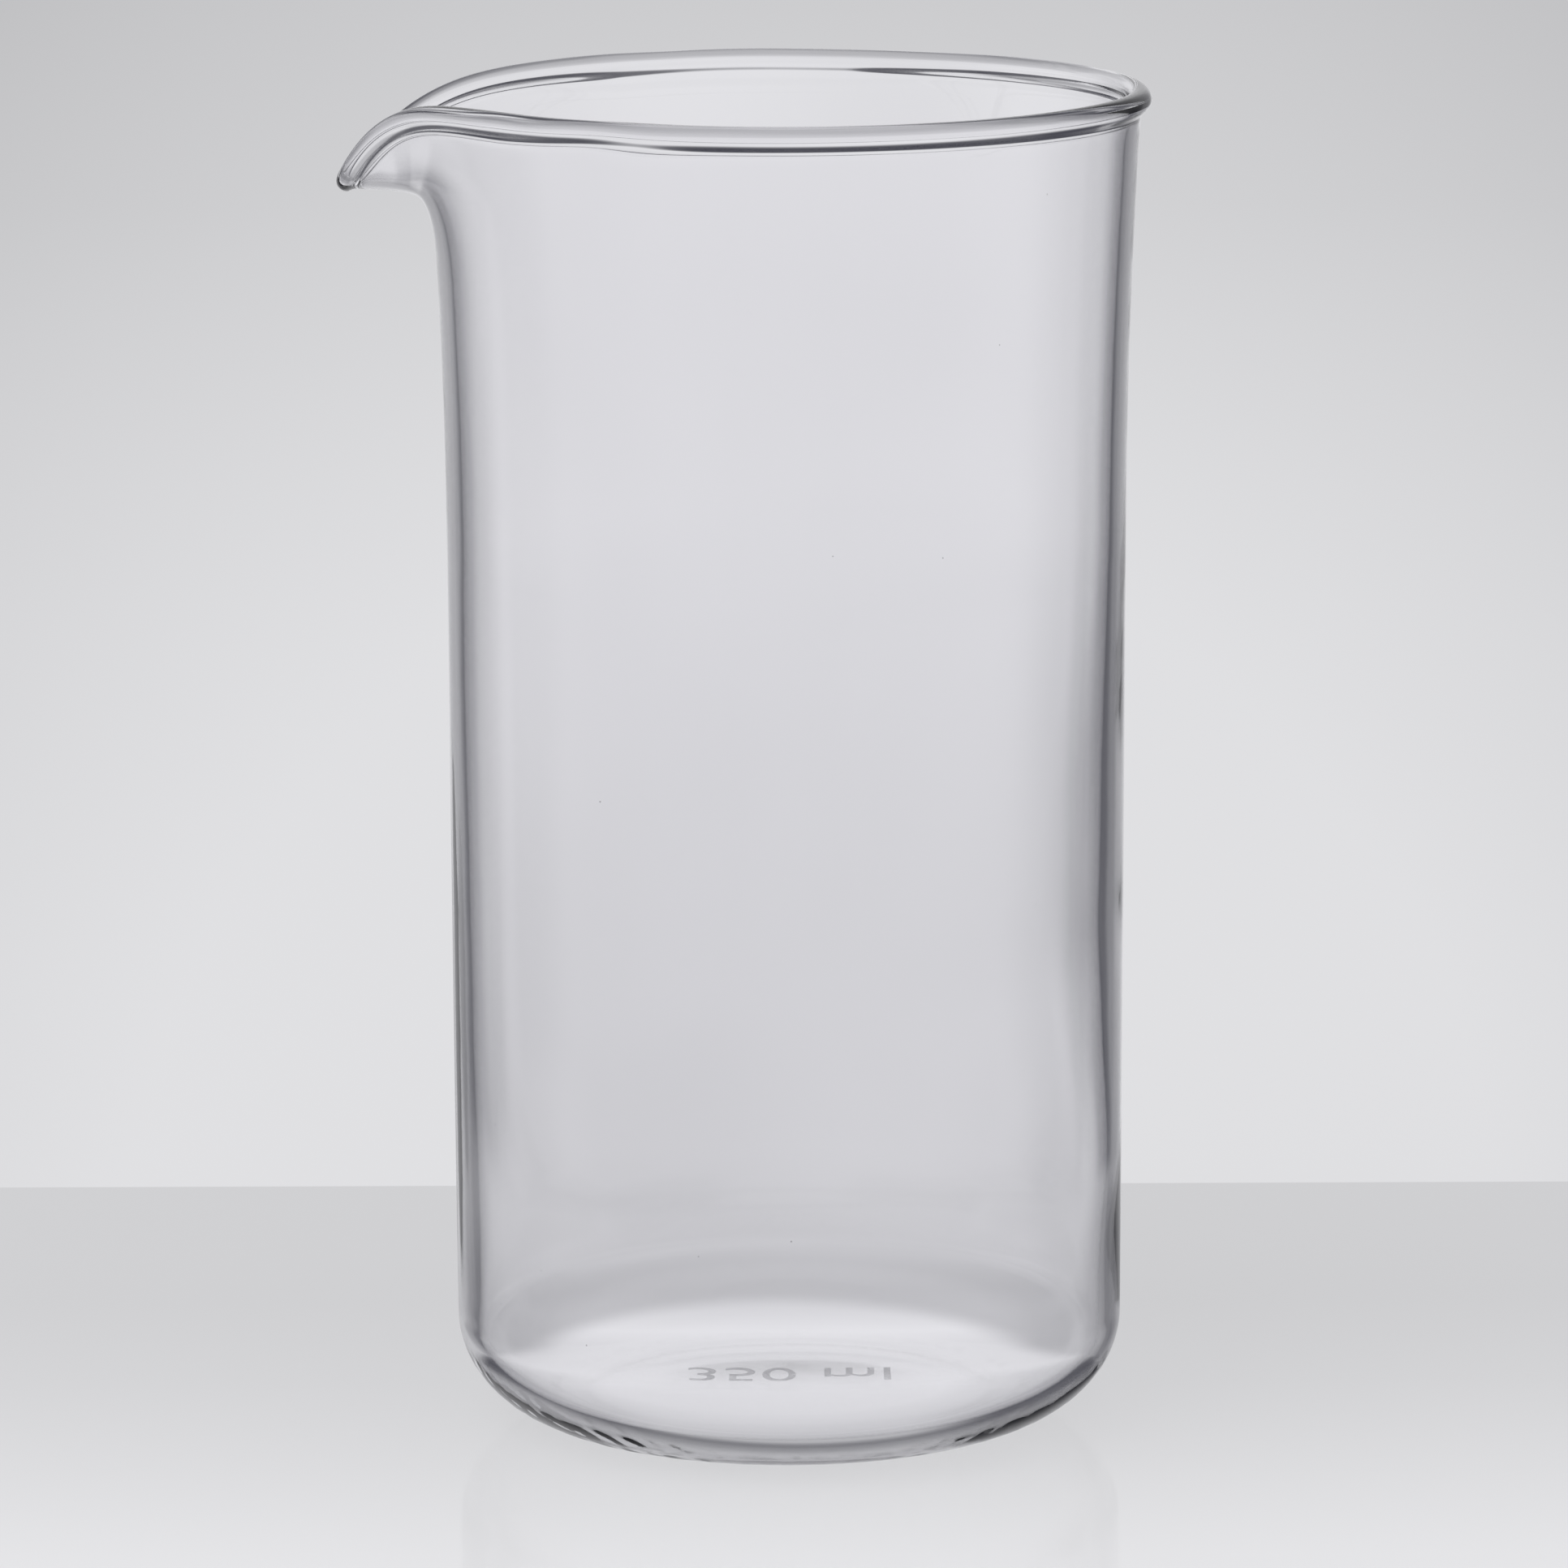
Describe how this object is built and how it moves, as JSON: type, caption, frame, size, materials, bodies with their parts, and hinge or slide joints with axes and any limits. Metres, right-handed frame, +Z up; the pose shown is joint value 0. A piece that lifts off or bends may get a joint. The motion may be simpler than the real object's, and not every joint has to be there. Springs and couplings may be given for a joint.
{
  "type": "glass beaker",
  "caption": "Tall clear glass beaker with a flat base, rounded heel, lightly flared wall, beaded rim and drawn pouring spout, as used in a plunger coffee press.",
  "frame": {"origin": "centre of the flat underside of the base, on the axis of the round body", "axes": "+Z up along the axis of the body, -X out along the pouring spout, +Y to the side; the XZ plane is the mirror plane"},
  "size_m": [0.0843, 0.0752, 0.1395],
  "materials": {
    "glass": "clear, fire polished"
  },
  "bodies": {
    "root": {"glass_beaker": "glass"}
  },
  "joints": []
}
